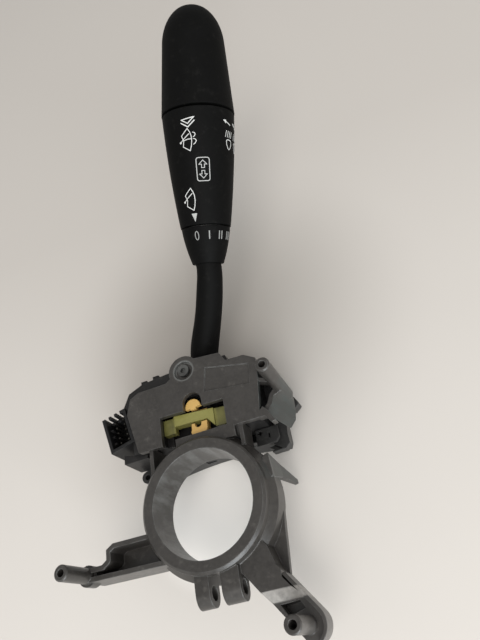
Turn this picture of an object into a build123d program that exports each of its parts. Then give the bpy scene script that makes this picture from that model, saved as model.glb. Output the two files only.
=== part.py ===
from build123d import *
import math
import os

# Combination stalk switch of a steering column, millimetres and degrees.
# Z is the axis of the steering column with +Z towards the driver, the front
# face of the clamp ring lies in Z = 0, and the stalk leaves on the +Y side.

# --- Clamp ring -------------------------------------------------------------
bore_d = 40.4  # steering column jacket tube
ring_wall = 4.8
ring_depth = 17.2
edge_chamfer = 1.0
collar_step = 2.4  # the rear collar stands out this far from the ring
collar_start = 5.0  # depth at which the collar's cone begins
collar_cone = 3.0
bore_r = bore_d / 2
ring_r = bore_r + ring_wall
collar_r = ring_r + collar_step

# --- Clamp lugs -------------------------------------------------------------
slit_w = 4.6
lug_drop = 5.3  # clamp screw axis below the ring's outside
lug_depth_mid = 7.5
lug_r = 4.8
lug_left_w = 5.4
lug_right_w = 7.0
clamp_hole_d = 5.2
clamp_y = -(ring_r + lug_drop)

# --- Screw bosses that carry the contact reel -------------------------------
boss_height = 13.0  # in front of the ring's face
boss_length = 21.0
boss_d = 5.8
boss_hole_d = 2.8
boss_hole_depth = 14.0
boss_lower_drop = 1.5  # the lower boss ends this much short of the others
boss_radius = 54.0
boss_upper_angle = 47.7
boss_left_angle = 196.0
boss_lower_angle = -57.9

# --- Face plate of the frame ------------------------------------------------
plate_gap = 2.3  # lower edge of the plate above the ring's outside
plate_depth = 5.0  # plate front behind the ring's face
plate_t = 2.4
plate_half = 27.0
plate_left = 31.4
plate_right = 29.4
plate_shoulder = 17.6
plate_left_top = 27.4
plate_right_top = 29.0
plate_peak = 35.3
plate_y = ring_r + plate_gap
plate_z = -plate_depth
plate_back = plate_z - plate_t
rib_t = 1.6
side_front = 8.0  # depth of the side wall's front and rear edges
side_back = 24.4

# --- Window with its sill, and the arch above it ----------------------------
window_left = 16.0
window_right = 13.0
window_low = 1.3
window_high = 12.6
arch_r = 4.3
arch_x = -0.8
arch_y = 15.3
panel_recess = 0.5

# --- Mounting screw of the module -------------------------------------------
screw_x = -2.8
screw_up = 30.9
screw_lobe_r = 6.9
screw_seat_r = 4.3
screw_seat_depth = 1.6
screw_head_r = 2.6
screw_head_h = 1.9
screw_shank_r = 1.4
screw_reach = 5.6

# --- Lower arms of the frame ------------------------------------------------
arm_wall = 1.8
arm_front = 2.0
arm_back = 16.0
arm_floor = 12.0
arm_floor_t = 2.4
arm_top = -5.8
arm_bottom = -18.2
arm_neck = -12.6
arm_shoulder_x = -42.3
arm_lobe_r = 3.9
lobe_front = 4.0
lobe_t = 5.0
web_depth = 5.2
web_t = 2.6
web_right = 6.2
web_left = 3.9
web_floor = 8.0
bevel_y = -33.7  # upper edge of the bevel
bevel_run = 3.9
rim_t = 1.2
rim_depth = 4.8
flank_from = 2.0  # height at which the flank leaves the collar

# --- Front and rear shells of the switch module -----------------------------
shell_wall = 2.2
shell_gap = 2.1  # space between the face plate and the front shell
shell_split = 25.6
shell_rear = 40.4
shell_rim = 4.2  # front shell stands out past the plate at upper left
shell_right = 26.0
shell_low = 1.6
shell_top = 34.4
tray_right = 34.6
tray_step = 30.0  # depth at which the tray narrows
tray_deep_right = 30.4
tray_arch = 1.4  # clear space above the column collar in the tray's lower wall
inner_wall_gap = 1.3
inner_wall_t = 1.2
inner_wall_high = 13.1
slot_left = 9.4  # sides of the opening that the stem swings in
slot_right = 13.4
slot_over = 6.0  # the opening is cut this far past the shells' top, and as far below it
slot_past_pivot = 7.0
shelf_left = 37.2  # shelf below the socket
shelf_right = 29.5
shelf_front = 11.0
shelf_end = 26.0
tray_crown = 31.0  # top of the tray's side above the plate's lower edge
tray_shoulder = 20.0
tray_heel = 4.2
tray_slope = 2.9
board_low = 4.0  # lower edge of the contact board above the plate's
board_step = 25.0
board_cut = 24.0

# --- Lever, pivots and travel -----------------------------------------------
pivot_x = -1.0
pivot_up = 24.7  # above the lower edge of the plate
pivot_z = -26.0
eye_r = 6.0
eye_w = 13.0
pin_r = 2.5
run_fit = 0.06  # radial clearance of pins and bearings
slide_fit = 0.3  # clearance of sliding and swinging pieces
cheek_t = 3.2
cheek_gap = 0.5
cheek_up = 4.0
cheek_down = 9.2
trunnion_r = 3.2
trunnion_skin = 0.7  # wall left in front of the blind bearing
yoke_bar_t = 2.8
yoke_front = 10.2  # half depth of the yoke in front of the pivot and behind it
yoke_rear = 9.0
web_down = 6.4
web_thick = 2.8
nose_half = 3.6
nose_len = 4.2
plunger_r = 2.0
contact_board_t = 1.4
contact_track_t = 0.2
plunger_len = 6.4
contact_rows = (-4.2, -1.4, 1.4)
detent_reach = 16.7
track_half = 7.0
spring_wire = 0.35
pivot = Vector(pivot_x, plate_y + pivot_up, pivot_z)

# --- Stalk: tilt of its grip and length of its pieces -------------------------
exit_side = 4.3  # from the pivot to where the stem leaves the module
exit_up = 17.6
exit_front = 8.0
foot_side = 20.5  # from the pivot to the foot of the grip
foot_up = 50.2
foot_front = 29.4
stem_root_r = 5.4
grip_dir = Vector(0.256, 0.842, 0.4755)
stem_base_r = 6.4
stem_neck_r = 5.8
collar_len = 15.7
collar_foot_r = 7.1
collar_head_r = 11.0
twist_gap = 0.7
sleeve_foot_r = 11.4
sleeve_mid_r = 14.5
sleeve_head_r = 16.4
sleeve_end = 66.2
press_travel = 0.9
press_gap = press_travel + 0.2  # gap that the cap closes when it is pressed
cap_foot_r = 16.6
cap_side_r = 14.2
cap_side_end = 99.8
grip_len = 116.6
grip_wall = 2.4
core_r = 6.4
core_bore_r = 3.6
core_foot = 12.0
core_end = 72.0
core_flange_t = 2.0
bearing_up = 4.0  # lower bearing above the collar
bearing_w = 4.0
bearing_root = 0.6  # bearings reach this far into the wall
wheel_t = 3.0
notch_r = 0.7
notches = 12
drum_up = 14.0
drum_len = 12.0
drum_wall = 2.6
skirt_len = 4.2  # skirt of the cap inside the sleeve
skirt_wall = 1.4
button_r = 2.4
button_high = 3.8
button_seat = 6.0
washer_gap = 5.0  # room for the spring between the core and the cap's web
washer_web_t = 2.0
washer_wire = 0.45

# --- Cancelling bridge and pawl ----------------------------------------------
bridge_depth = 0.8  # behind the back of the plate
bridge_t = 4.2
bridge_side_gap = 1.1  # space between the bridge and the window's right edge
bridge_tuck = 0.6  # the bridge reaches this far behind the window's left edge
bridge_left_w = 5.4
bridge_right_w = 4.9
bridge_left_low = 5.7
bridge_right_low = 3.4
bridge_bar_low = 8.2
bridge_bar_high = 12.9
bridge_fall = 1.8  # the bar's top falls this much towards the right
post_step = 1.0
bridge_travel = 1.8
pawl_gap = 0.4
pawl_t = 2.0
pawl_x = 0.9
pawl_up = 10.0
pawl_pin_r = 1.0
head_x = -1.65
head_up = 14.35
head_r = 3.45
head_t = 2.0
head_flat = 13.7
tip_up = 1.6
tip_leg_t = 2.2
tip_slot_r = 1.5
tip_block_high = 5.0


def polar(radius, angle):
    return radius * math.cos(math.radians(angle)), radius * math.sin(math.radians(angle))


def prism(points, z_high, z_low, radius=0):
    """Straight block over a closed outline, its corners rounded where asked."""
    face = make_face(Polyline(*points, close=True))
    if radius:
        face = fillet(face.vertices(), radius)
    return Pos(0, 0, z_low) * extrude(face, z_high - z_low)


def block(x0, x1, y0, y1, z0, z1):
    middle = Pos((x0 + x1) / 2, (y0 + y1) / 2, (z0 + z1) / 2)
    return middle * Box(abs(x1 - x0), abs(y1 - y0), abs(z1 - z0))


def post(x, y, radius, z_high, z_low):
    return Pos(x, y, (z_high + z_low) / 2) * Cylinder(radius, z_high - z_low)


def rod_x(x0, x1, y, z, radius):
    return Pos((x0 + x1) / 2, y, z) * Rot(0, 90, 0) * Cylinder(radius, abs(x1 - x0))


def turned(points, axis_plane=Plane.XY):
    """Body of revolution from (radius, height) points about a plane's normal."""
    return axis_plane * revolve(Plane.XZ * make_face(Polyline(*points, close=True)), Axis.Z)


def upper_boss():
    return polar(boss_radius, boss_upper_angle)


def left_boss():
    return polar(boss_radius, boss_left_angle)


def lower_boss():
    return polar(boss_radius, boss_lower_angle)


# Plane of the grip: origin at the foot of the scale collar, Z along the grip.
stem_exit = pivot + Vector(exit_side, exit_up, exit_front)
grip_foot = pivot + Vector(foot_side, foot_up, foot_front)
grip = Plane(origin=grip_foot, x_dir=(1, 0, -grip_dir.X / grip_dir.Z), z_dir=grip_dir)


# --- Frame --------------------------------------------------------------------
def clamp_ring():
    cone_end = collar_start + collar_cone
    return turned(
        [
            (bore_r, 0),
            (ring_r - edge_chamfer, 0),
            (ring_r, -edge_chamfer),
            (ring_r, -collar_start),
            (collar_r, -cone_end),
            (collar_r, -ring_depth),
            (bore_r, -ring_depth),
        ]
    )


def clamp_lugs():
    """Two rounded lugs either side of the slit, bored for the clamp screw."""
    lugs = []
    half = slit_w / 2
    for x0, x1 in ((-half - lug_left_w, -half), (half, half + lug_right_w)):
        round_end = rod_x(x0, x1, clamp_y, -lug_depth_mid, lug_r)
        neck = block(x0, x1, clamp_y, -ring_r + 1.5, -lug_depth_mid - lug_r, -lug_depth_mid + lug_r)
        lugs.append(round_end + neck)
    return lugs[0] + lugs[1]


def boss(centre, height):
    x, y = centre
    tall = post(x, y, boss_d / 2, height, boss_height - boss_length)
    return chamfer(tall.edges().group_by(Axis.Z)[-1], 0.4)


def boss_bore(centre, height):
    x, y = centre
    return post(x, y, boss_hole_d / 2, height + 1, height - boss_hole_depth)


def all_bosses():
    """Centre and front end of each boss."""
    low = boss_height - boss_lower_drop
    return (upper_boss(), boss_height), (left_boss(), boss_height), (lower_boss(), low)


def plate_outline():
    y = plate_y
    return [
        (-plate_half, y),
        (plate_half, y),
        (plate_right, y + plate_shoulder),
        (plate_right + 0.6, y + plate_right_top - 3),
        (plate_right - 4.4, y + plate_right_top),
        (plate_right - 12.6, y + plate_right_top + 0.4),
        (plate_right - 15.0, y + plate_peak - 1.4),
        (0.4, y + plate_peak),
        (-plate_left + 19.6, y + plate_left_top),
        (-plate_left + 6.0, y + plate_left_top),
        (-plate_left + 2.0, y + plate_left_top - 2),
        (-plate_left, y + plate_shoulder + 1),
    ]


def face_plate():
    plate = prism(plate_outline(), plate_z, plate_back, radius=1.0)
    lobe = post(screw_x, plate_y + screw_up, screw_lobe_r, plate_z, plate_back)
    return plate + lobe


def window_cut():
    """Window, its open lower left corner and the arch above it."""
    top = plate_y + window_high
    front, back = plate_z + 1, plate_back - 1
    opening = block(-window_left, window_right, plate_y + window_low, top, front, back)
    corner = block(-window_left, -window_left + 6, plate_y - 1, top, front, back)
    arch = post(arch_x, plate_y + arch_y, arch_r, front, back)
    throat = block(arch_x - arch_r, arch_x + arch_r, top - 1, plate_y + arch_y, front, back)
    return opening + corner + arch + throat


def panel_cut():
    y = plate_y
    outline = [(5.4, y + 18.2), (25.4, y + 15.6), (26.6, y + 24.4), (7.2, y + 29.0)]
    return prism(outline, plate_z + 1, plate_z - panel_recess)


def ring_webs():
    """Webs that tie the plate to the clamp ring."""
    back = -ring_depth
    right = block(17.4, 17.4 + rib_t, 19, plate_y + 1, plate_z - 1, back)
    left = block(-22.6, -22.6 + rib_t, 12, plate_y + 1, plate_z - 1, back)
    sill = block(-window_left + 6, window_right + 3, ring_r - 2, plate_y + window_low, plate_z, plate_back)
    return right + left + sill


def from_plate(*points):
    """Points placed from the lower right corner of the face plate."""
    return [(plate_half + x, plate_y + y) for x, y in points]


def from_upper_boss(*points):
    ux, uy = upper_boss()
    return [(ux + x, uy + y) for x, y in points]


def towards_boss(*points):
    """Points by their share of the way from the plate's corner to the upper boss, and outwards of it."""
    ux, uy = upper_boss()
    run_x, run_y = ux - plate_half, uy - plate_y
    run = math.hypot(run_x, run_y)
    return [
        (plate_half + share * run_x + out * run_y / run, plate_y + share * run_y - out * run_x / run)
        for share, out in points
    ]


def side_wall():
    """Flared wall from the plate's right edge to the upper boss, open to the module."""
    front = towards_boss(
        (0.16, 0.7), (0.45, 1.0), (0.68, 0.3), (0.87, 2.3), (1.10, 1.3),
        (1.07, -1.3), (0.91, -1.1), (0.66, -1.6), (0.45, -1.0), (0.18, -1.4),
    )
    back = towards_boss(
        (0.23, 6.3), (0.49, 6.8), (0.72, 5.1), (0.97, 2.7), (1.19, -0.1),
        (1.11, -1.5), (0.88, 1.2), (0.66, 3.2), (0.47, 4.5), (0.29, 3.9),
    )
    high = make_face(Polyline(*front, close=True))
    low = make_face(Polyline(*back, close=True))
    wall = loft([Pos(0, 0, -side_front) * high, Pos(0, 0, -side_back) * low], ruled=True)
    top_points = [*from_plate((1.0, 24.1), (2.6, 24.9)), *from_upper_boss((1.26, 2.46), (-0.14, 1.26))]
    top = prism(top_points, plate_z - 1, -side_back)
    tie_points = [*from_plate((0.5, 16.5), (0.5, 18.1)), *from_upper_boss((-0.74, 1.66), (-0.74, 0.06))]
    tie = prism(tie_points, plate_z - 1.2, -side_front - 3.0)
    foot = prism(
        from_plate((-0.6, 0), (-0.6, 1.7), (1.8, 4.1), (3.4, 2.3), (6.0, -2.9), (4.4, -3.3), (2.0, 0)),
        plate_z, plate_back - rib_t,
    )
    return wall + top + tie + foot


def left_arm():
    """Channel arm: floor, upper rib, lower flange and the lobe round its boss."""
    bx, by = left_boss()
    inner = -bore_r - 1.5
    outline = [
        (inner, arm_top),
        (arm_shoulder_x + 3, arm_top),
        (arm_shoulder_x, arm_top - 1.8),
        (arm_shoulder_x, arm_neck + 1.4),
        (arm_shoulder_x - 2, arm_neck),
        (bx, arm_neck),
        (bx, arm_bottom + 0.6),
        (-16.0, arm_bottom),
    ]
    solid = prism(outline, -arm_front, -arm_back)
    inside = offset(make_face(Polyline(*outline, close=True)), -arm_wall)
    depth = arm_floor - arm_front
    hollow = Pos(0, 0, -arm_floor) * extrude(inside, depth + 1)
    under = Pos(0, 0, -arm_back - 1) * extrude(inside, arm_back - arm_floor - arm_floor_t + 1)
    lobe = post(bx, by, arm_lobe_r, -lobe_front, -lobe_front - lobe_t)
    return solid - hollow - under + lobe


def lower_arm():
    """Deep arm to the lower boss: web, flank, rim, bevel and a pocket by the boss."""
    bx, by = lower_boss()
    dx, dy = math.cos(math.radians(126)), math.sin(math.radians(126))
    nx, ny = dy, -dx  # points to the arm's outer side

    def at(along, across):
        return bx + dx * along + nx * across, by + dy * along + ny * across

    shoulder = at(16.2, web_right)
    meets = polar(collar_r + 0.4, -43.4)
    web = [
        at(0, web_right), shoulder, at(20.2, web_right + 0.3), meets,
        polar(ring_r - 3, -43.4), polar(ring_r - 3, -75), at(22.8, -web_left), at(0, -web_left),
    ]
    body = prism(web, -web_depth, -ring_depth)
    flank = [(bore_r + 1, flank_from), (collar_r, flank_from), shoulder, at(18, 0), polar(ring_r - 3, -60)]
    body = body + prism(flank, -ring_depth + web_t, -ring_depth)
    end = post(bx, by, web_right, -web_depth, -ring_depth)
    trim = [at(-9, -web_left), at(12, -web_left), at(12, -web_left - 6), at(-9, -web_left - 6)]
    body = body + (end - prism(trim, 1, -ring_depth - 1))
    # Floor round the boss, reached over a bevel.
    low = [
        (bevel_y, -web_depth), (bevel_y - bevel_run, -web_floor),
        (by - 12, -web_floor), (by - 12, 1), (bevel_y, 1),
    ]
    step = extrude(Plane.YZ * make_face(Polyline(*low, close=True)), bx + 20)
    inside = web_right - rim_t / 2
    open_side, under = -web_left - 4, -web_floor - 1
    room = post(bx, by, inside, 2, under)
    room = room + prism([at(0, open_side), at(0, inside), at(30, inside), at(30, open_side)], 2, under)
    room = room + prism([at(-9, open_side), at(0, open_side), at(0, inside), at(-inside, 0)], 2, under)
    body = body - (step & room)
    # Raised rim along the outer side and round the end.
    outer = web_right + rim_t / 2
    rim = post(bx, by, outer, -web_depth, -web_depth - rim_depth) - post(bx, by, inside, 0, -ring_depth)
    rim = rim - prism([at(-9, 0), at(9, 0), at(9, -9), at(-9, -9)], 1, -ring_depth)
    rim = rim - prism([at(0, 0), at(9, 0), at(9, 9), at(0, 9)], 1, -ring_depth)
    edge = [at(0, inside), at(0, outer), at(15.6, outer), at(16.2, web_right), at(16.2, inside)]
    body = body + rim + prism(edge, -web_depth, -web_depth - rim_depth)
    groove = [
        at(8.0, inside), at(17.0, web_right + 1.2), at(18.0, web_right + 0.6),
        at(15.5, web_right - 1.3), at(12.0, web_right - 1.2),
    ]
    groove_cut = prism(groove, 1, -web_depth - rim_depth) - prism(edge, 1, -ring_depth)
    body = body - groove_cut
    pocket = [at(10.8, -web_left + 1.6), at(6.9, 3.5), at(3.9, 3.1), at(6.2, -web_left + 1.2)]
    body = body - prism(pocket, 0, -ring_depth + web_t)
    return body - post(0, 0, ring_r - 1.0, 1, -ring_depth - 1)


def prong():
    """Tapered locating prong that runs back from the collar."""
    c = collar_r
    root = [(c - 2.6, 3.6), (c - 0.2, 4.4), (c - 0.8, 13.4), (c - 3.2, 12.6)]
    neck = [(c - 1.2, 5.6), (c + 0.6, 6.2), (c + 0.4, 11.2), (c - 1.4, 10.6)]
    tip = [(c + 1.6, 5.6), (c + 3.0, 6.0), (c + 2.9, 7.6), (c + 1.5, 7.2)]
    levels = ((root, -9.0), (neck, -ring_depth - 1.8), (tip, -ring_depth - 15.8))
    faces = [Pos(0, 0, z) * make_face(Polyline(*pts, close=True)) for pts, z in levels]
    return loft(faces, ruled=True) + prism(root, -7.0, -9.0)


def column_frame():
    frame = clamp_ring() + clamp_lugs() + face_plate() + ring_webs() + side_wall()
    frame = frame + left_arm() + lower_arm() + prong()
    for centre, height in all_bosses():
        frame = frame + boss(centre, height)
    ux, uy = upper_boss()
    frame = frame + post(ux, uy, boss_d / 2, boss_height - boss_length, -20.0)
    frame = frame - window_cut() - panel_cut()
    for centre, height in all_bosses():
        frame = frame - boss_bore(centre, height)
    frame = frame - post(0, 0, bore_r, 1, -ring_depth - 1)
    slit = block(-slit_w / 2, slit_w / 2, -bore_r + 1.0, clamp_y - lug_r - 1, -collar_start, -ring_depth - 1)
    frame = frame - slit
    reach = slit_w / 2 + 0.5
    frame = frame - rod_x(-reach - lug_left_w, reach + lug_right_w, clamp_y, -lug_depth_mid, clamp_hole_d / 2)
    seat_y = plate_y + screw_up
    frame = frame - post(screw_x, seat_y, screw_seat_r, plate_z + 1, plate_z - screw_seat_depth)
    frame = frame - post(screw_x, seat_y, screw_shank_r, plate_z, plate_back - 1)
    return frame


# --- Switch module ------------------------------------------------------------
shell_front = plate_back - shell_gap
front_wall_back = shell_front - shell_wall
floor_top = -shell_rear + shell_wall
plug_w = 11.8
plug_h = 17.0
plug_wall = 1.4
plug_front = -8.0
plug_floor = 5.0
plug_x = -37.9
plug_up = 14.3
plug_tilt = 13.8
pin_rows = 6
pin_pitch = 2.54
pin_row_gap = 4.0
pin_side = 0.64
pin_tip = 4.0  # pin ends behind the mouth


def front_outline(inset=0):
    y = plate_y
    pts = [
        (-plate_left - 0.4, y + shell_low),
        (-plate_left - 0.4, y + 21.4),
        (-plate_left - shell_rim, y + 24.0),
        (-plate_left - shell_rim + 3.4, y + plate_left_top + 3.2),
        (-plate_left + 6.4, y + plate_left_top + 6.0),
        (-plate_left + 18.0, y + shell_top),
        (15.6, y + shell_top),
        (17.6, y + plate_right_top - 0.6),
        (shell_right, y + plate_right_top - 1.6),
        (shell_right, y + shell_low),
    ]
    face = make_face(Polyline(*pts, close=True))
    return offset(face, -inset) if inset else face


def stem_slot():
    """Opening in the shells' top that the stem swings in."""
    top = plate_y + shell_top
    back = pivot_z - slot_past_pivot
    return block(-slot_left, slot_right, top - slot_over, top + slot_over, plate_z - 3, back)


def switch_body():
    """Front shell of the module, open at the rear."""
    y = plate_y
    outer = Pos(0, 0, -shell_split) * extrude(front_outline(), shell_split + shell_front)
    depth = shell_split + 1 + front_wall_back
    inner = Pos(0, 0, -shell_split - 1) * extrude(front_outline(shell_wall), depth)
    a, b = -shelf_left, -shelf_right
    corner = prism([(a, y - 0.5), (b, y - 0.5), (b, y + 1.5), (a, y + 3.3)], -shelf_front, -shell_split)
    corner = corner + block(b - 2.1, -shelf_end, y - 0.5, y + 2.6, -shelf_front, -shell_split)
    body = outer - inner + corner
    # Guides either side of the bridge, and the wall behind it.
    left, right = bridge_sides()
    low, high = y + shell_low, y + inner_wall_high
    wall_front = pawl_back() - inner_wall_gap
    wall_back = wall_front - inner_wall_t
    body = body + block(left - 4, left + 2.6, low, high, front_wall_back, wall_back)
    body = body + block(right - 2.6, right + 4, low, high, front_wall_back, wall_back)
    body = body + block(left - 4, right + 4, low, high, wall_front, wall_back)
    tab_left, tab_right = arch_x - arch_r - 0.3, arch_x + arch_r - 0.1
    body = body + block(tab_left, tab_right, low, y + arch_y + arch_r, wall_front, wall_back)
    top = y + bridge_bar_high + bridge_travel + 2 * slide_fit
    front = shell_front + 1
    body = body - block(left - slide_fit, right + slide_fit, y, top, front, bridge_back() - slide_fit)
    body = body - block(left + 2.6, right - 2.6, y, high, front, wall_front)
    swing = head_r + 2.6
    head_top = y + head_up + head_r + bridge_travel + slide_fit
    body = body - block(head_x - swing, head_x + swing, y + 4, head_top, front, wall_front)
    # Blind bearing of the front trunnion.
    bearing_front = shell_front - trunnion_skin
    body = body - post(pivot.X, pivot.Y, trunnion_r + run_fit, bearing_front, front_wall_back - 1)
    body = body - stem_slot()
    # Seat of the mounting screw.
    seat = post(screw_x, y + screw_up, screw_shank_r + 1.6, plate_back, shell_front)
    body = body + seat - post(screw_x, y + screw_up, screw_shank_r, plate_back + 1, plate_back - screw_reach)
    # Snap lugs on the upper left edge.
    for x, up in ((-25.6, 34.8), (-19.6, 35.6)):
        lug = block(x - 1.4, x + 1.4, y + up - 2.6, y + up + 1.2, shell_front - 2.6, shell_front - 6.4)
        body = body + lug
    return body - plug_space()


def tray_left(inset=0):
    return -plate_left - shell_rim + inset


def tray_outline(right_side, inset=0):
    """Outline of the tray: the given right side, from bottom to top, then the common rest."""
    y = plate_y
    arch = collar_r - tray_arch + inset
    left = tray_left(inset)
    top = y + shell_top - inset
    points = [(x - inset, height) for x, height in right_side]
    points += [
        (16.0, top), (-25.0, top), (left + 3.4, top - 3.4), (left, y + 24.0), (left, y + inset),
        (-26.3, y - 3.9 + inset),
    ]
    path = [Line(points[n], points[n + 1]) for n in range(len(points) - 1)]
    return make_face([*path, ThreePointArc(points[-1], (0, arch), points[0])])


def flange_side():
    y = plate_y
    r = tray_right
    return [
        (r - 9.6, y - 3.1), (r - 10.5, y - 8.0), (r - 4.4, y - 7.9), (r - 2.4, y - 6.0), (r - 2.6, y - 2.0),
        (r - 2.0, y + 3.0), (r, y + 8.7), (r, y + 18.0), (r - 4.6, y + tray_crown),
    ]


def deep_side():
    y = plate_y
    r = tray_deep_right
    shoulder, crown = y + tray_shoulder, y + tray_crown
    return [(r - 1.0, y - tray_heel), (r, y - 2.0), (r, shoulder), (r - tray_slope, crown)]


def rear_tray():
    """Rear shell: a shallow flange and a deeper, narrower tub, with its ear and slot."""
    lip = tray_step - shell_split
    tub = shell_rear - tray_step
    wall = shell_wall
    tray = Pos(0, 0, -tray_step) * extrude(tray_outline(flange_side()), lip)
    tray = tray + Pos(0, 0, -shell_rear) * extrude(tray_outline(deep_side()), tub)
    tray = tray - Pos(0, 0, floor_top) * extrude(tray_outline(deep_side(), wall), tub + lip)
    y = plate_y
    right = tray_deep_right - wall
    pocket = block(right - 1, tray_right - wall, y + 9.0, y + 20.0, -shell_split + 1, -tray_step + wall)
    r = tray_right
    ear_points = [(r - 2, y + 20.1), (r + 0.8, y + 18.3), (r + 4.8, y + 10.5), (r + 1.8, y + 8.1), (r - 2, y + 10.7)]
    ear = prism(ear_points, -shell_split - 2.4, -shell_split - 7.4, radius=0.6)
    tray = tray - pocket + ear
    # Bearing of the rear trunnion.
    tray = tray - post(pivot.X, pivot.Y, trunnion_r + run_fit, floor_top + 1, -shell_rear - 1)
    tray = tray - stem_slot()
    # Latch slot with its tongue, and a gauge hole, in the flange's lower corner.
    slot = [(20.9, 22.6), (25.0, 22.8), (28.6, 19.9), (24.2, 19.9)]
    tongue = [(22.8, 21.5), (25.0, 21.8), (27.2, 20.2), (25.0, 20.2)]
    tray = tray - prism(slot, -shell_split + 1, -shell_split - 2.6)
    tray = tray + prism(tongue, -shell_split - 0.4, -shell_split - 3.0)
    tray = tray - block(18.8, 21.2, 29.2, 31.4, -shell_split + 1, -shell_split - 3.0)
    # Cable slot in the lower wall and the lower left screw ear.
    tray = tray - block(-9.0, -4.6, bore_r, bore_r + 6, -shell_split - 4.4, -shell_split - 10.8)
    ear_x, ear_y = tray_left() + 1.2, y - 3.4
    tray = tray + post(ear_x, ear_y, 2.7, -shell_split, -tray_step - 2.0)
    return tray - post(ear_x, ear_y, 1.2, -shell_split + 1, -tray_step)


def plug_plane():
    return Plane(origin=(plug_x, plate_y + plug_up, plug_front), z_dir=(0, 0, 1)).rotated((0, 0, plug_tilt))


def plug_space():
    """Room that the socket takes in the front shell."""
    depth = shell_split + plug_front
    return plug_plane() * (Pos(0, 0, -depth / 2) * Box(plug_w, plug_h, depth))


def connector_shell():
    """Socket open towards the driver, castellated along its upper wall."""
    depth = shell_split + plug_front
    tub = Pos(0, 0, -depth / 2) * Box(plug_w, plug_h, depth)
    hole_d = depth - plug_floor
    tub = tub - Pos(0, 0, -hole_d / 2 + 0.5) * Box(plug_w - 2 * plug_wall, plug_h - 2 * plug_wall, hole_d + 1)
    for x in (-3.5, -0.6, 2.3):
        tub = tub - Pos(x, plug_h / 2, -3.0) * Box(1.7, 2 * plug_wall + 2, 6.0 + 0.01)
    for y in (-3.4, 0.0, 3.4):
        fin = Pos(-plug_w / 2 + plug_wall + 0.5, y, -(hole_d + 2.0) / 2 - 1.0) * Box(1.2, 0.8, hole_d - 2.0)
        tub = tub + fin
    for x in (-pin_row_gap / 2, pin_row_gap / 2):
        for n in range(pin_rows):
            y = (n - (pin_rows - 1) / 2) * pin_pitch
            tub = tub - Pos(x, y, -depth + plug_floor / 2) * Box(pin_side, pin_side, plug_floor + 2)
    return plug_plane() * tub


def connector_pins():
    depth = shell_split + plug_front
    length = depth - pin_tip
    pins = []
    for x in (-pin_row_gap / 2, pin_row_gap / 2):
        for n in range(pin_rows):
            y = (n - (pin_rows - 1) / 2) * pin_pitch
            pins.append(plug_plane() * (Pos(x, y, -pin_tip - length / 2) * Box(pin_side, pin_side, length)))
    return Compound(children=pins)


def mount_screw():
    """Socket-head screw seated in the plate's counterbore."""
    y = plate_y + screw_up
    seat = plate_z - screw_seat_depth
    screw = post(screw_x, y, screw_head_r, seat + screw_head_h, seat)
    screw = screw + post(screw_x, y, screw_shank_r, seat, plate_back - screw_reach)
    socket = Pos(screw_x, y, seat + screw_head_h) * extrude(RegularPolygon(1.3, 6), -1.2)
    return screw - socket


# --- Lever mechanism ------------------------------------------------------------
def lever_yoke():
    """Cheeks, bars and trunnions that carry the lever about the turn axis."""
    px, py, pz = pivot.X, pivot.Y, pivot.Z
    inner = eye_w / 2 + cheek_gap
    outer = inner + cheek_t
    front, rear = pz + yoke_front, pz - yoke_rear
    yoke = block(px - outer, px - inner, py - cheek_down, py + cheek_up, front, rear)
    yoke = yoke + block(px + inner, px + outer, py - cheek_down, py + cheek_up, front, rear)
    bar_up = trunnion_r
    yoke = yoke + block(px - outer, px + outer, py - cheek_down + 4.6, py + bar_up, front, front + yoke_bar_t)
    yoke = yoke + block(px - outer, px + outer, py - cheek_down, py + cheek_up, rear, rear - yoke_bar_t)
    web_top = py - web_down
    web_low = web_top - web_thick
    yoke = yoke + block(px - outer, px + outer, web_low, web_top, pz + 6.4, rear)
    nose_z = pz + 4.0
    yoke = yoke + block(px - nose_half, px + nose_half, web_low - nose_len, web_low, nose_z + 3.4, nose_z - 3.4)
    yoke = yoke + post(px, py, trunnion_r, shell_front - trunnion_skin - slide_fit, front + yoke_bar_t)
    yoke = yoke + post(px, py, trunnion_r, rear - yoke_bar_t, -shell_rear + 0.4)
    yoke = yoke - rod_x(px - outer - 1, px + outer + 1, py, pz, pin_r)
    bore_top = web_top - 1.0
    bore = Pos(px, (bore_top + web_low - nose_len - 1) / 2, nose_z) * Rot(90, 0, 0) * Cylinder(
        plunger_r + run_fit, bore_top - web_low + nose_len + 1
    )
    return yoke - bore


def detent_plunger():
    tip_y = pivot.Y - detent_reach
    nose_z = pivot.Z + 4.0
    pin = Pos(pivot.X, tip_y + plunger_r + (plunger_len - plunger_r) / 2, nose_z) * Rot(90, 0, 0) * Cylinder(
        plunger_r, plunger_len - plunger_r
    )
    return pin + Pos(pivot.X, tip_y + plunger_r, nose_z) * Sphere(plunger_r)


def coil(radius, wire, turns, height):
    """Coil spring standing on Z = 0."""
    rise = height - 2 * wire
    path = Helix(rise / turns, rise, radius)
    section = Plane(origin=path @ 0, z_dir=path % 0) * RegularPolygon(wire, 6)
    return Pos(0, 0, wire) * sweep(section, path=path, is_frenet=True)


def detent_spring():
    nose_z = pivot.Z + 4.0
    low = pivot.Y - detent_reach + plunger_len
    high = pivot.Y - web_down - 1.0
    spring = coil(plunger_r - spring_wire - 0.2, spring_wire, 3, high - low)
    return Pos(pivot.X, low, nose_z) * Rot(-90, 0, 0) * spring


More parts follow.
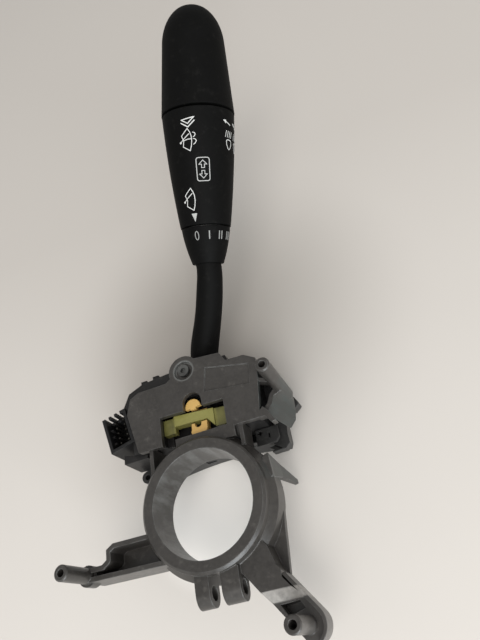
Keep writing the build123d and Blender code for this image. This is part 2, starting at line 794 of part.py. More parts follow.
def detent_track():
    """Hollow-faced block with a notch for each place of the turn lever."""
    base = plate_y + shell_low + shell_wall
    nose_z = pivot.Z + 4.0
    track_r = detent_reach + slide_fit
    track = block(pivot.X - track_half, pivot.X + track_half, base, base + 6.0, nose_z + 2.6, nose_z - 2.6)
    track = track - post(pivot.X, pivot.Y, track_r, nose_z + 3, nose_z - 3)
    for angle in (-12, 0, 12):
        x, y = polar(track_r, -90 + angle)
        track = track - post(pivot.X + x, pivot.Y + y, 0.9, nose_z + 3, nose_z - 3)
    return track


def cross_pin():
    reach = eye_w / 2 + cheek_gap + cheek_t
    return rod_x(pivot.X - reach, pivot.X + reach, pivot.Y, pivot.Z, pin_r)


def turn_slider():
    """Sprung wiper plate fixed to the left cheek, over the contact tracks."""
    reach = eye_w / 2 + cheek_gap + cheek_t
    x = pivot.X - reach
    z = pivot.Z - yoke_rear + 1.0
    arm = block(x - 12.0, x, pivot.Y - 5.4, pivot.Y + 2.2, z + 1.4, z - 0.6)
    for dy in contact_rows:
        arm = arm + post(x - 10.4, pivot.Y + dy, 0.7, z, contact_top() + slide_fit)
    return arm


def contact_top():
    return floor_top + contact_board_t + contact_track_t


def contact_right():
    """Right edge of the board, clear of the yoke's swing."""
    return pivot.X - eye_w / 2 - cheek_gap - cheek_t - 2.6


def contact_plate():
    """Insulating plate on the floor of the tray."""
    y = plate_y
    left = tray_left(shell_wall) + 0.6
    right = contact_right()
    low, top = y + board_low, y + tray_crown
    outline = [(left, low), (right, low), (right, top), (-board_cut, top), (left, y + board_step)]
    return prism(outline, floor_top + contact_board_t, floor_top, radius=1.0)


def contact_tracks():
    """Stamped tracks along arcs about the turn axis."""
    reach = eye_w / 2 + cheek_gap + cheek_t + 10.4
    tracks = []
    for dy in contact_rows:
        r = math.hypot(reach, dy)
        ring = post(pivot.X, pivot.Y, r + 0.9, contact_top(), floor_top + contact_board_t)
        ring = ring - post(pivot.X, pivot.Y, r - 0.9, contact_top() + 1, floor_top)
        tracks.append(ring)
    y = plate_y
    left, right = tray_left(shell_wall) + 1.4, contact_right() - 0.6
    keep = prism([(left, y + 5), (right, y + 8), (right, y + 30), (-24, y + 30), (left, y + 24.5)],
                 floor_top + 2, floor_top + 1)
    solids = []
    for ring in tracks:
        solids.extend((ring & keep).solids())
    return Compound(children=solids)


# --- Cancelling bridge and pawl ----------------------------------------------
def bridge_front():
    return plate_back - bridge_depth


def bridge_back():
    return bridge_front() - bridge_t


def pawl_back():
    return bridge_back() - pawl_gap - pawl_t


def bridge_sides():
    return -window_left - bridge_tuck, window_right - bridge_side_gap


def pawl_axis():
    return pawl_x, plate_y + pawl_up


def cancel_bridge():
    """Bar on two posts, sliding behind the window; its posts are set back."""
    left, right = bridge_sides()
    y = plate_y
    front, back = bridge_front(), bridge_back()
    inner_left, inner_right = left + bridge_left_w, right - bridge_right_w
    outline = [
        (left, y + bridge_left_low), (inner_left, y + bridge_left_low), (inner_left, y + bridge_bar_low),
        (inner_right - 3.2, y + bridge_bar_low - 0.5), (inner_right, y + bridge_right_low + 0.2),
        (right - 0.6, y + bridge_right_low), (right, y + bridge_right_low + 0.6),
        (right, y + bridge_bar_high - bridge_fall), (inner_left, y + bridge_bar_high),
        (inner_left, y + bridge_bar_high - 0.4), (left, y + bridge_bar_high - 0.4),
    ]
    bridge = prism(outline, front, back)
    high = y + bridge_bar_high + 1
    bridge = bridge - block(left - 1, inner_left, y, high, front + 1, front - post_step)
    bridge = bridge - block(inner_right, right + 1, y, high, front + 1, front - post_step)
    px, py = pawl_axis()
    return bridge - post(px, py, pawl_pin_r, front - 1.2, back - 1)


def pawl_pin():
    px, py = pawl_axis()
    return post(px, py, pawl_pin_r, bridge_front() - 1.2, pawl_back() - 0.5)


def cancel_pawl():
    """Pawl: shank behind the bar, mushroom head above it, slotted tip below."""
    px, py = pawl_axis()
    y = plate_y
    shank_front, back = pawl_back() + pawl_t, pawl_back()
    front = bridge_front()
    # Mushroom head with its lip on the left, and the neck under it.
    head_front = plate_back - slide_fit
    head_back = head_front - head_t
    head = post(head_x, y + head_up, head_r, head_front, head_back)
    below = prism(
        [(head_x - 5, y + head_flat - 0.3), (head_x + 5, y + head_flat + 0.9), (head_x + 5, y), (head_x - 5, y)],
        front + 2, back - 1,
    )
    neck_low = y + bridge_bar_high + 0.25
    head = head - below + block(head_x - 1.3, head_x + 1.3, neck_low, y + head_up, head_front, head_back)
    head = head + block(head_x - 1.3, head_x + 0.9, neck_low + 0.4, y + head_up + 0.6, head_front - 1, back)
    shank = block(px - 1.8, px + 1.8, y + tip_up + 1.0, y + head_up, shank_front, back)
    head_tie = block(head_x, px + 1.0, y + bridge_bar_high + 0.4, y + head_up - 0.4, shank_front, back)
    # Tip: a block with two legs either side of a slot.
    low = y + tip_up
    leg_top = y + bridge_bar_low - 0.5 - 2 * slide_fit
    plate = prism(
        [(-3.5, low + 0.5), (2.6, low), (3.5, low + 2.4), (3.6, leg_top - 0.1), (-3.4, leg_top),
         (-3.5, low + 2.8), (-3.9, low + 2.2)],
        front, front - tip_leg_t,
    )
    slot_y = y + tip_block_high + tip_slot_r
    slot = post(-0.4, slot_y, tip_slot_r, front + 1, back - 1)
    slot = slot + block(-0.4 - tip_slot_r, -0.4 + tip_slot_r, slot_y, leg_top + 1, front + 1, shank_front)
    tail_top = y + tip_block_high - 0.4
    tail = prism([(-3.2, low + 0.5), (2.6, low), (2.7, tail_top), (-3.2, tail_top)], front - tip_leg_t, back)
    pawl = head + shank + head_tie + (plate - slot) + tail
    return pawl - post(px, py, pawl_pin_r + run_fit, shank_front + 1, back - 1)


# --- Stalk ----------------------------------------------------------------------
def stem_stations():
    """Centre, tangent and radius of the stem from its root to the grip."""
    reach = stem_exit - pivot
    rise = grip_foot - stem_exit
    shares = ((0.31, 0.29, 0.26), (0.67, 0.61, 0.58), (0.88, 0.82, 0.81))
    bend = [stem_exit + Vector(rise.X * x, rise.Y * y, rise.Z * z) for x, y, z in shares]
    points = [pivot + reach * 0.30, pivot + reach * 0.62, stem_exit, *bend, grip_foot]
    radii = [
        stem_root_r, stem_root_r + 0.4, stem_base_r, stem_base_r - 0.1,
        stem_neck_r + 0.3, stem_neck_r + 0.1, stem_neck_r,
    ]
    stations = []
    for n, point in enumerate(points):
        before = points[max(n - 1, 0)]
        after = points[min(n + 1, len(points) - 1)]
        tangent = (after - before).normalized()
        if point is grip_foot:
            tangent = grip_dir
        stations.append((point, tangent, radii[n]))
    return stations


def stalk_stem():
    """Bent stem with its pivot eye and the spigot that carries the grip."""
    faces = [Plane(origin=p, z_dir=t) * Circle(r) for p, t, r in stem_stations()]
    stem = loft(faces)
    root = Plane(origin=pivot, z_dir=(stem_exit - pivot))
    length = (stem_exit - pivot).length * 0.30
    stem = stem + root * (Pos(0, 0, length / 2) * Cylinder(stem_root_r, length))
    stem = stem + rod_x(pivot.X - eye_w / 2, pivot.X + eye_w / 2, pivot.Y, pivot.Z, eye_r)
    stem = stem + grip * (Pos(0, 0, core_foot / 2) * Cylinder(stem_neck_r, core_foot))
    return stem - rod_x(pivot.X - eye_w, pivot.X + eye_w, pivot.Y, pivot.Z, pin_r + run_fit)


def collar_profile():
    belly = ((collar_foot_r + collar_head_r) / 2 + 0.45, collar_len / 2)
    return [
        Line((stem_neck_r, 0), (collar_foot_r, 0)),
        ThreePointArc((collar_foot_r, 0), belly, (collar_head_r, collar_len)),
        Line((collar_head_r, collar_len), (stem_neck_r, collar_len)),
        Line((stem_neck_r, collar_len), (stem_neck_r, 0)),
    ]


def scale_collar():
    """Tapered collar that carries the wiper scale."""
    return grip * revolve(Plane.XZ * make_face(collar_profile()), Axis.Z)


def handle_core():
    """Tube inside the grip, with the flange that the sleeve turns on."""
    flange_r = sleeve_foot_r - grip_wall - slide_fit
    points = [
        (core_bore_r, core_foot), (stem_neck_r, core_foot), (stem_neck_r, collar_len),
        (flange_r, collar_len), (flange_r, collar_len + core_flange_t),
        (core_r, collar_len + core_flange_t), (core_r, core_end), (core_bore_r, core_end),
    ]
    return turned(points, grip)


def contact_drum():
    """Wiper contact drum on the core, clear of the sleeve."""
    low = collar_len + drum_up
    high = low + drum_len
    outer = core_r + drum_wall
    return turned([(core_r, low), (outer, low), (outer, high), (core_r, high)], grip)


def wiper_sleeve():
    """Turning part of the grip, running on two bearing webs."""
    foot = collar_len + twist_gap
    mid = (foot + sleeve_end) / 2
    bore = core_r + run_fit
    wall = grip_wall
    skirt_seat = sleeve_end - skirt_len
    outer = [
        Line((sleeve_foot_r - wall, foot), (sleeve_foot_r, foot)),
        ThreePointArc((sleeve_foot_r, foot), (sleeve_mid_r, mid), (sleeve_head_r, sleeve_end)),
        Line((sleeve_head_r, sleeve_end), (sleeve_head_r - wall, sleeve_end)),
        Line((sleeve_head_r - wall, sleeve_end), (sleeve_head_r - wall, skirt_seat)),
        Line((sleeve_head_r - wall, skirt_seat), (sleeve_mid_r - wall, mid)),
        Line((sleeve_mid_r - wall, mid), (sleeve_foot_r - wall, foot)),
    ]
    sleeve = revolve(Plane.XZ * make_face(outer), Axis.Z)
    inside = sleeve_foot_r - wall + bearing_root
    low = collar_len + bearing_up
    sleeve = sleeve + Pos(0, 0, low + bearing_w / 2) * (Cylinder(inside, bearing_w) - Cylinder(bore, bearing_w))
    high = skirt_seat - bearing_w
    inside = sleeve_head_r - wall + bearing_root / 3
    sleeve = sleeve + Pos(0, 0, high + bearing_w / 2) * (Cylinder(inside, bearing_w) - Cylinder(bore, bearing_w))
    return grip * sleeve


def detent_wheel():
    """Notched wheel fixed in the sleeve, which gives the wiper its steps."""
    middle = collar_len + bearing_up + bearing_w + wheel_t / 2
    rim_r = sleeve_foot_r - grip_wall + bearing_root
    bore = core_r + slide_fit
    wheel = Pos(0, 0, middle) * (Cylinder(rim_r, wheel_t) - Cylinder(bore, wheel_t))
    for n in range(notches):
        wheel = wheel - Rot(0, 0, 360 / notches * n) * Pos(bore, 0, middle) * Cylinder(notch_r, wheel_t)
    return grip * wheel


def washer_cap():
    """Hollow end cap that presses towards the column."""
    foot = sleeve_end + press_gap
    wall = grip_wall
    skirt_r = sleeve_head_r - grip_wall - slide_fit
    skirt_low = sleeve_end - skirt_len + press_gap
    inner_r = skirt_r - skirt_wall
    dome = grip_len - cap_side_end
    rise = dome - wall
    half = math.sqrt(0.5)
    web_low = core_end + washer_gap
    profile = [
        Line((inner_r, skirt_low), (skirt_r, skirt_low)),
        Line((skirt_r, skirt_low), (skirt_r, foot)),
        Line((skirt_r, foot), (cap_foot_r, foot)),
        Line((cap_foot_r, foot), (cap_side_r, cap_side_end)),
        Spline(
            (cap_side_r, cap_side_end), (cap_side_r * half, cap_side_end + dome * half), (0, grip_len),
            tangents=((cap_side_r - cap_foot_r, cap_side_end - foot), (-1, 0)),
        ),
        Line((0, grip_len), (0, grip_len - wall)),
        Line((0, grip_len - wall), ((cap_side_r - wall) * half, cap_side_end + rise * half)),
        Line(((cap_side_r - wall) * half, cap_side_end + rise * half), (cap_side_r - wall, cap_side_end)),
        Line((cap_side_r - wall, cap_side_end), (inner_r, foot + wall)),
        Line((inner_r, foot + wall), (inner_r, skirt_low)),
    ]
    cap = revolve(Plane.XZ * make_face(profile), Axis.Z)
    cap = cap + Pos(0, 0, web_low + washer_web_t / 2) * Cylinder(inner_r + skirt_wall / 3, washer_web_t)
    return grip * cap


def washer_button():
    """Push button of the washer switch in the end of the core."""
    seat = core_end - button_seat
    top = core_end + button_high
    points = [
        (0, seat), (core_bore_r, seat), (core_bore_r, core_end), (button_r, core_end), (button_r, top), (0, top),
    ]
    return turned(points, grip)


def washer_spring():
    return grip * (Pos(0, 0, core_end) * coil(core_r - 1.2, washer_wire, 2.5, washer_gap))


def main():
    parts = {
        "column_frame": column_frame,
        "switch_body": switch_body,
        "rear_tray": rear_tray,
        "connector_shell": connector_shell,
        "connector_pins": connector_pins,
        "mount_screw": mount_screw,
        "contact_plate": contact_plate,
        "contact_tracks": contact_tracks,
        "detent_track": detent_track,
        "lever_yoke": lever_yoke,
        "cross_pin": cross_pin,
        "turn_slider": turn_slider,
        "detent_plunger": detent_plunger,
        "detent_spring": detent_spring,
        "cancel_bridge": cancel_bridge,
        "pawl_pin": pawl_pin,
        "cancel_pawl": cancel_pawl,
        "stalk_stem": stalk_stem,
        "scale_collar": scale_collar,
        "handle_core": handle_core,
        "contact_drum": contact_drum,
        "wiper_sleeve": wiper_sleeve,
        "detent_wheel": detent_wheel,
        "washer_cap": washer_cap,
        "washer_button": washer_button,
        "washer_spring": washer_spring,
    }
    os.makedirs("parts", exist_ok=True)
    for name, make in parts.items():
        export_step(make(), f"parts/{name}.step")


main()
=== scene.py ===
import math

import bmesh
import bpy
from mathutils import Matrix, Vector
from mathutils.bvhtree import BVHTree


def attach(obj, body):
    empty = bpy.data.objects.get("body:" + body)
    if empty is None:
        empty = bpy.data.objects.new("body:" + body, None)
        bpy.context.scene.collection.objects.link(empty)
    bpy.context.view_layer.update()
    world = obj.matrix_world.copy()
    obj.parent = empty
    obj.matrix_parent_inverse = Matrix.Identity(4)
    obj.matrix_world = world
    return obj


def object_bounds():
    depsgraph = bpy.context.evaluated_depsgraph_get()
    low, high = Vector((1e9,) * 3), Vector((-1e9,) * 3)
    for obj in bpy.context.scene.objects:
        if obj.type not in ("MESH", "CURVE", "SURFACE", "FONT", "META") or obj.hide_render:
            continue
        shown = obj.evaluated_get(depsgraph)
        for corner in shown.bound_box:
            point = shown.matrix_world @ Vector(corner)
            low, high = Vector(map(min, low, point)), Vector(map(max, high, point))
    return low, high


# Combination stalk switch: the finishes, the printed marks, the floor and the light.

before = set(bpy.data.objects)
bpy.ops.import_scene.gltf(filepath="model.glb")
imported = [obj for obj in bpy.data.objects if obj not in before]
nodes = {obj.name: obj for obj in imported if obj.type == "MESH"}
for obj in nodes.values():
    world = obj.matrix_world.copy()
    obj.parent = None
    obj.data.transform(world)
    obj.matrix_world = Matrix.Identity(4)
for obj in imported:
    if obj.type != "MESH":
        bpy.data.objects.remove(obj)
cad_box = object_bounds()
MM = 0.001

# --- Camera: where it stands, and the directions of its picture ------------------
camera_at = Vector((79.25, -54.83, 193.46)) * MM
camera_right = Vector((0.92190, -0.16507, -0.35051))
camera_up = Vector((0.32095, 0.83214, 0.45226))
camera_back = Vector((0.21701, -0.52943, 0.82013))
camera_lens = 31.10
camera_sensor = 36.0

# --- Grip: its foot, its axis and the side that the driver reads -----------------
grip_foot = Vector((19.5, 102.2, 3.4)) * MM
grip_along = Vector((0.256, 0.842, 0.4755)).normalized()
towards_driver = Vector((0.2638, -0.5339, 0.8034))
grip_face = (towards_driver - grip_along * towards_driver.dot(grip_along)).normalized()
grip_side = grip_along.cross(grip_face)
grip_clear = 0.03  # a ray from this far out meets the skin from outside

# --- Print, in mm ----------------------------------------------------------------
print_stroke = 0.34
print_lift = 0.045  # ink above the skin
print_root = 0.12  # ink below it, so that no gap shows
print_step = 0.35  # longest straight step of a stroke over the curved skin
sharpest_mitre = 0.45

# --- Places on the bracket, in metres --------------------------------------------
seat_middle = (-0.0028, 0.0582, -0.005)  # seat of the mounting screw
# radii of the painted highlight ring on the seat's chamfer
seat_highlight_radii = (0.0040, 0.0042, 0.0046, 0.0052)
bore_skin = 0.0203
bore_edge = 0.0206
arm_bevel = ((0.012, -0.0374, -0.030), (0.045, -0.0337, 0.0))
lower_arm = ((0.010, -0.060, -0.040), (0.060, -0.036, 0.0114))
side_wall = ((0.024, 0.004, -0.040), (0.060, 0.050, 0.0))
bridge_left = (-0.0105, -0.0125)
bridge_right = (0.0065, 0.0085)
part_middle = Vector((5.0, 40.0, 0.0)) * MM


# --- Node helpers ----------------------------------------------------------------
def add_node(tree, kind, **settings):
    """A node of the given kind with its settings."""
    node = tree.nodes.new(kind)
    for name, value in settings.items():
        setattr(node, name, value)
    return node


def feed(tree, socket, value):
    """Set a socket to a number or a colour, or link it to another socket."""
    if isinstance(value, (int, float)):
        socket.default_value = value
    elif isinstance(value, tuple):
        socket.default_value = (*value, 1.0)
    else:
        tree.links.new(value, socket)


def math_node(tree, operation, first, second=None):
    node = add_node(tree, "ShaderNodeMath", operation=operation)
    feed(tree, node.inputs[0], first)
    if second is not None:
        feed(tree, node.inputs[1], second)
    return node.outputs[0]


def times(tree, first, second):
    return math_node(tree, "MULTIPLY", first, second)


def noise(tree, vector, scale, detail=3.0, roughness=0.5):
    node = add_node(tree, "ShaderNodeTexNoise")
    node.inputs["Detail"].default_value = detail
    node.inputs["Roughness"].default_value = roughness
    tree.links.new(vector, node.inputs["Vector"])
    feed(tree, node.inputs["Scale"], scale)
    return node.outputs["Fac"]


def ramp(tree, value, low, high, to=(0.0, 1.0), kind="LINEAR"):
    """Straight or smooth change from one amount to another between two values."""
    node = add_node(tree, "ShaderNodeMapRange", interpolation_type=kind, clamp=True)
    tree.links.new(value, node.inputs["Value"])
    for name, amount in (("From Min", low), ("From Max", high), ("To Min", to[0]), ("To Max", to[1])):
        node.inputs[name].default_value = amount
    return node.outputs["Result"]


def axes(tree, vector):
    """The X, Y and Z of a vector."""
    split = add_node(tree, "ShaderNodeSeparateXYZ")
    tree.links.new(vector, split.inputs[0])
    return split.outputs


def stretched(tree, place, scale):
    """Coordinates scaled along each axis, which draws a pattern out."""
    node = add_node(tree, "ShaderNodeMapping")
    node.inputs["Scale"].default_value = scale
    tree.links.new(place, node.inputs["Vector"])
    return node.outputs["Vector"]


def distance_from(tree, place, point):
    node = add_node(tree, "ShaderNodeVectorMath", operation="DISTANCE")
    tree.links.new(place, node.inputs[0])
    node.inputs[1].default_value = point
    return node.outputs["Value"]


def mix_colour(tree, amount, first, second):
    """Blend of two colours, each a socket or a plain colour."""
    node = add_node(tree, "ShaderNodeMix", data_type="RGBA")
    for number, value in ((0, amount), (6, first), (7, second)):
        feed(tree, node.inputs[number], value)
    return node.outputs[2]


def add_bump(tree, shader, height, distance, strength, normal=None):
    """Fine relief on a shader, over the given normal if there is one."""
    bump = add_node(tree, "ShaderNodeBump")
    bump.inputs["Distance"].default_value = distance
    bump.inputs["Strength"].default_value = strength
    tree.links.new(height, bump.inputs["Height"])
    if normal:
        tree.links.new(normal, bump.inputs["Normal"])
    tree.links.new(bump.outputs["Normal"], shader.inputs["Normal"])


# --- Shared effects --------------------------------------------------------------
def new_group(name, kind, inputs, outputs):
    """A node group with the named inputs and outputs, and its two end nodes."""
    tree = bpy.data.node_groups.new(name, kind)
    for label, socket_kind, value in inputs:
        socket = tree.interface.new_socket(label, in_out="INPUT", socket_type=f"NodeSocket{socket_kind}")
        if value is not None:
            socket.default_value = value
    for label, socket_kind in outputs:
        tree.interface.new_socket(label, in_out="OUTPUT", socket_type=f"NodeSocket{socket_kind}")
    return tree, add_node(tree, "NodeGroupInput").outputs, add_node(tree, "NodeGroupOutput").inputs


def moulded_skin_group():
    """Mould grain, mottling in clouds and flecks, and a dusting for moulded plastic."""
    sizes = (("Grain size", 1400.0), ("Mottle size", 60.0), ("Fleck size", 650.0), ("Dust size", 300.0))
    tree, given, out = new_group(
        "moulded_skin",
        "ShaderNodeTree",
        [("Vector", "Vector", None)] + [(label, "Float", size) for label, size in sizes],
        [("Grain", "Float"), ("Mottle", "Float"), ("Dust", "Float")],
    )
    place = given["Vector"]
    grain = noise(tree, place, given["Grain size"], detail=2.0, roughness=0.6)
    cloud = ramp(tree, noise(tree, place, given["Mottle size"], detail=4.0, roughness=0.6), 0.3, 0.7)
    fleck = ramp(tree, noise(tree, place, given["Fleck size"], detail=3.0, roughness=0.7), 0.32, 0.68)
    dust = noise(tree, place, given["Dust size"], detail=6.0, roughness=0.7)
    mottle = math_node(tree, "ADD", times(tree, cloud, 0.5), times(tree, fleck, 0.5))
    tree.links.new(grain, out["Grain"])
    tree.links.new(mottle, out["Mottle"])
    tree.links.new(ramp(tree, dust, 0.56, 0.72), out["Dust"])
    return tree


def rubbed_and_lit_edge_group():
    """Mask of rubbed edges, also used as a painted edge highlight: where the rounded normal leaves the face's
    own.
    """
    tree, given, out = new_group(
        "rubbed_and_lit_edge",
        "ShaderNodeTree",
        [("Vector", "Vector", None), ("Radius", "Float", 0.0004), ("Patch size", "Float", 120.0)],
        [("Edge", "Float"), ("Normal", "Vector")],
    )
    rounded = add_node(tree, "ShaderNodeBevel", samples=4)
    tree.links.new(given["Radius"], rounded.inputs["Radius"])
    face = add_node(tree, "ShaderNodeNewGeometry")
    match = add_node(tree, "ShaderNodeVectorMath", operation="DOT_PRODUCT")
    tree.links.new(rounded.outputs["Normal"], match.inputs[0])
    tree.links.new(face.outputs["Normal"], match.inputs[1])
    edge = ramp(tree, match.outputs["Value"], 0.98, 0.75)
    patch = ramp(tree, noise(tree, given["Vector"], given["Patch size"], detail=4.0), 0.35, 0.65)
    tree.links.new(times(tree, edge, patch), out["Edge"])
    tree.links.new(rounded.outputs["Normal"], out["Normal"])
    return tree


skin_group = moulded_skin_group()
edge_group = rubbed_and_lit_edge_group()


# --- Kinds of surface ------------------------------------------------------------
def start_material(name):
    """A new material with its tree, its shader and the object's coordinates."""
    material = bpy.data.materials.new(name)
    material.use_nodes = True
    tree = material.node_tree
    place = add_node(tree, "ShaderNodeTexCoord").outputs["Object"]
    return material, tree, tree.nodes["Principled BSDF"], place


def moulded_plastic(name, colour, light, rough=0.5, specular=0.4, grain_size=1400.0,
                    grain_depth=0.00002, dust=0.1, edge_rub_and_highlight=0.3, worn_colour=None, edge=0.0004, finish=None):
    """Moulded plastic: mottled colour, dust, paler edges (rubbed, on the frame also a painted highlight), fine
    grain.
    """
    dust_colour = (0.35, 0.33, 0.30)
    worn_colour = worn_colour or tuple(min(1.0, 2.4 * channel + 0.02) for channel in light)
    material, tree, shader, place = start_material(name)
    skin = add_node(tree, "ShaderNodeGroup", node_tree=skin_group)
    skin.inputs["Grain size"].default_value = grain_size
    rubbed_and_lit = add_node(tree, "ShaderNodeGroup", node_tree=edge_group)
    rubbed_and_lit.inputs["Radius"].default_value = edge
    for group in (skin, rubbed_and_lit):
        tree.links.new(place, group.inputs["Vector"])
    mottle = skin.outputs["Mottle"]
    result = mix_colour(tree, mottle, colour, light)
    result = mix_colour(tree, times(tree, skin.outputs["Dust"], dust), result, dust_colour)
    result = mix_colour(tree, times(tree, rubbed_and_lit.outputs["Edge"], edge_rub_and_highlight), result, worn_colour)
    if finish:
        result = finish(tree, place, result)
    tree.links.new(result, shader.inputs["Base Color"])
    tree.links.new(ramp(tree, mottle, 0.0, 1.0, to=(rough - 0.06, rough + 0.08)), shader.inputs["Roughness"])
    shader.inputs["Specular IOR Level"].default_value = specular
    add_bump(tree, shader, skin.outputs["Grain"], grain_depth, 0.7, rubbed_and_lit.outputs["Normal"])
    return material


def metal(name, colour, dark, rough):
    """Bright or plated metal with drawn lines and tarnish."""
    material, tree, shader, place = start_material(name)
    lines = noise(tree, stretched(tree, place, (1.0, 1.0, 0.08)), 3200.0)
    stain = ramp(tree, noise(tree, place, 240.0, detail=4.0), 0.4, 0.7)
    tree.links.new(mix_colour(tree, stain, colour, dark), shader.inputs["Base Color"])
    shader.inputs["Metallic"].default_value = 1.0
    tree.links.new(ramp(tree, lines, 0.3, 0.7, to=(rough - 0.08, rough + 0.12)), shader.inputs["Roughness"])
    add_bump(tree, shader, lines, 0.00001, 0.5)
    return material


def print_ink(name, colour, worn_colour):
    """Pad-printed ink, slightly rubbed."""
    material, tree, shader, place = start_material(name)
    rub = ramp(tree, noise(tree, place, 900.0, detail=4.0, roughness=0.6), 0.52, 0.72, to=(0.0, 0.5))
    tree.links.new(mix_colour(tree, rub, colour, worn_colour), shader.inputs["Base Color"])
    tree.links.new(ramp(tree, rub, 0.0, 0.5, to=(0.5, 0.65)), shader.inputs["Roughness"])
    shader.inputs["Specular IOR Level"].default_value = 0.3
    return material


# --- Wear, and painted light and shade, in their places --------------------------
def inside_box(tree, place, low, high, soft):
    """Mask of a box in the part's frame, with soft sides; metres."""
    mask = None
    for socket, start, end in zip(axes(tree, place), low, high):
        rise = ramp(tree, socket, start - soft, start + soft)
        side = times(tree, rise, ramp(tree, socket, end + soft, end - soft))
        mask = side if mask is None else times(tree, mask, side)
    return mask


def outer_side(tree, place, low, high):
    """Mask of the faces that look to the part's +X side inside a box; metres."""
    normal = add_node(tree, "ShaderNodeTexCoord").outputs["Normal"]
    return times(tree, inside_box(tree, place, low, high, 0.001), ramp(tree, axes(tree, normal)[0], 0.2, 0.8))


def bore_streaks(tree, place, drawn):
    """Streaks along the bore, where the column has rubbed."""
    x, y, _ = axes(tree, place)
    radius = math_node(tree, "SQRT", math_node(tree, "ADD", times(tree, x, x), times(tree, y, y)))
    streak = ramp(tree, noise(tree, drawn, 260.0, detail=5.0, roughness=0.65), 0.45, 0.75, to=(0.0, 0.6))
    return times(tree, ramp(tree, radius, bore_edge, bore_skin), streak)


def seat_chamfer_highlight(tree, place):
    """Painted highlight: a pale ring round the mounting screw's seat, where its chamfer catches the light."""
    away = distance_from(tree, place, seat_middle)
    rise_from, rise_to, fall_from, fall_to = seat_highlight_radii
    ring = times(tree, ramp(tree, away, rise_from, rise_to), ramp(tree, away, fall_to, fall_from))
    return times(tree, ring, 0.5)


def frame_wear_and_painted_light(tree, place, colour):
    """Rubbed bore; painted light: a highlight ring on the seat's chamfer, highlights on the lower arm's +X
    faces and bevel, and a cool reflected tint on the side wall's +X faces.
    """
    drawn = stretched(tree, place, (1.0, 1.0, 0.25))
    bevel_glint = ramp(tree, noise(tree, place, 420.0, detail=5.0, roughness=0.6), 0.30, 0.66, to=(0.45, 0.95))
    painted_light_streaks = ramp(tree, noise(tree, drawn, 420.0, detail=4.0, roughness=0.6), 0.3, 0.65, to=(0.35, 1.0))
    layers = (
        (bore_streaks(tree, place, drawn), (0.17, 0.175, 0.17)),
        # painted highlight ring on the seat's chamfer
        (seat_chamfer_highlight(tree, place), (0.16, 0.165, 0.16)),
        # painted highlight: the lower arm's faces that look to +X, as if lit from that side
        (times(tree, outer_side(tree, place, *lower_arm), painted_light_streaks), (0.125, 0.117, 0.110)),
        # painted cool tint of reflected light on the side wall's faces that look to +X
        (times(tree, outer_side(tree, place, *side_wall), painted_light_streaks), (0.031, 0.037, 0.035)),
        # painted highlight: the arm's bevel, lit in patches
        (times(tree, inside_box(tree, place, *arm_bevel, 0.0002), bevel_glint), (0.30, 0.285, 0.265)),
    )
    for mask, over in layers:
        colour = mix_colour(tree, mask, colour, over)
    return colour


def bridge_post_shade(tree, place, colour):
    """Painted shade, in dark patches, on the bridge's two posts, where it slides behind the plate."""
    across = axes(tree, place)[0]
    ends = math_node(tree, "MAXIMUM", ramp(tree, across, *bridge_left), ramp(tree, across, *bridge_right))
    patchy_shade = ramp(tree, noise(tree, place, 300.0, detail=4.0), 0.3, 0.7, to=(0.45, 0.75))
    return mix_colour(tree, times(tree, ends, patchy_shade), colour, (0.05, 0.05, 0.018))


# --- Finishes --------------------------------------------------------------------
# its bright edge colour also paints the highlight of the frame's rounded edges
frame_grey = moulded_plastic(
    "frame_grey", (0.022, 0.0200, 0.0180), (0.044, 0.0405, 0.037), rough=0.33, specular=0.5, grain_size=2400.0,
    grain_depth=0.00003, dust=0.10, edge_rub_and_highlight=0.8, edge=0.0005, worn_colour=(0.20, 0.205, 0.200), finish=frame_wear_and_painted_light)
shell_black = moulded_plastic(
    "shell_black", (0.0075, 0.0070, 0.0070), (0.012, 0.0115, 0.0115), rough=0.42, specular=0.35, dust=0.06,
    edge_rub_and_highlight=0.25, worn_colour=(0.06, 0.06, 0.06))
tray_black = moulded_plastic(
    "tray_black", (0.014, 0.0138, 0.0135), (0.022, 0.0217, 0.021), rough=0.40, specular=0.45, dust=0.08,
    edge_rub_and_highlight=0.35, worn_colour=(0.09, 0.09, 0.09))
socket_black = moulded_plastic(
    "socket_black", (0.006, 0.006, 0.0062), (0.009, 0.009, 0.0095), rough=0.40, specular=0.30, dust=0.04,
    edge_rub_and_highlight=0.2)
stalk_black = moulded_plastic(
    "stalk_black", (0.0026, 0.0026, 0.0025), (0.0038, 0.0038, 0.0037), rough=0.58, specular=0.05,
    grain_size=2600.0, grain_depth=0.00003, dust=0.012, edge_rub_and_highlight=0.1, edge=0.0006)
olive = moulded_plastic(
    "bridge_olive", (0.215, 0.205, 0.055), (0.27, 0.255, 0.075), rough=0.38, specular=0.5, dust=0.05,
    edge_rub_and_highlight=0.15, finish=bridge_post_shade)
amber = moulded_plastic(
    "pawl_amber", (0.55, 0.34, 0.10), (0.62, 0.40, 0.13), rough=0.35, specular=0.5, dust=0.05, edge_rub_and_highlight=0.15)
natural = moulded_plastic("acetal_natural", (0.60, 0.58, 0.52), (0.68, 0.66, 0.60), rough=0.40)
core_plastic = moulded_plastic("core_plastic", (0.03, 0.03, 0.03), (0.045, 0.045, 0.045))
board = moulded_plastic("board_brown", (0.16, 0.07, 0.03), (0.20, 0.09, 0.04), rough=0.45)
plated = metal("screw_plated", (0.17, 0.175, 0.17), (0.10, 0.10, 0.097), rough=0.42)
steel = metal("bright_steel", (0.55, 0.55, 0.55), (0.35, 0.34, 0.33), rough=0.28)
brass = metal("contact_brass", (0.62, 0.44, 0.18), (0.38, 0.26, 0.12), rough=0.32)
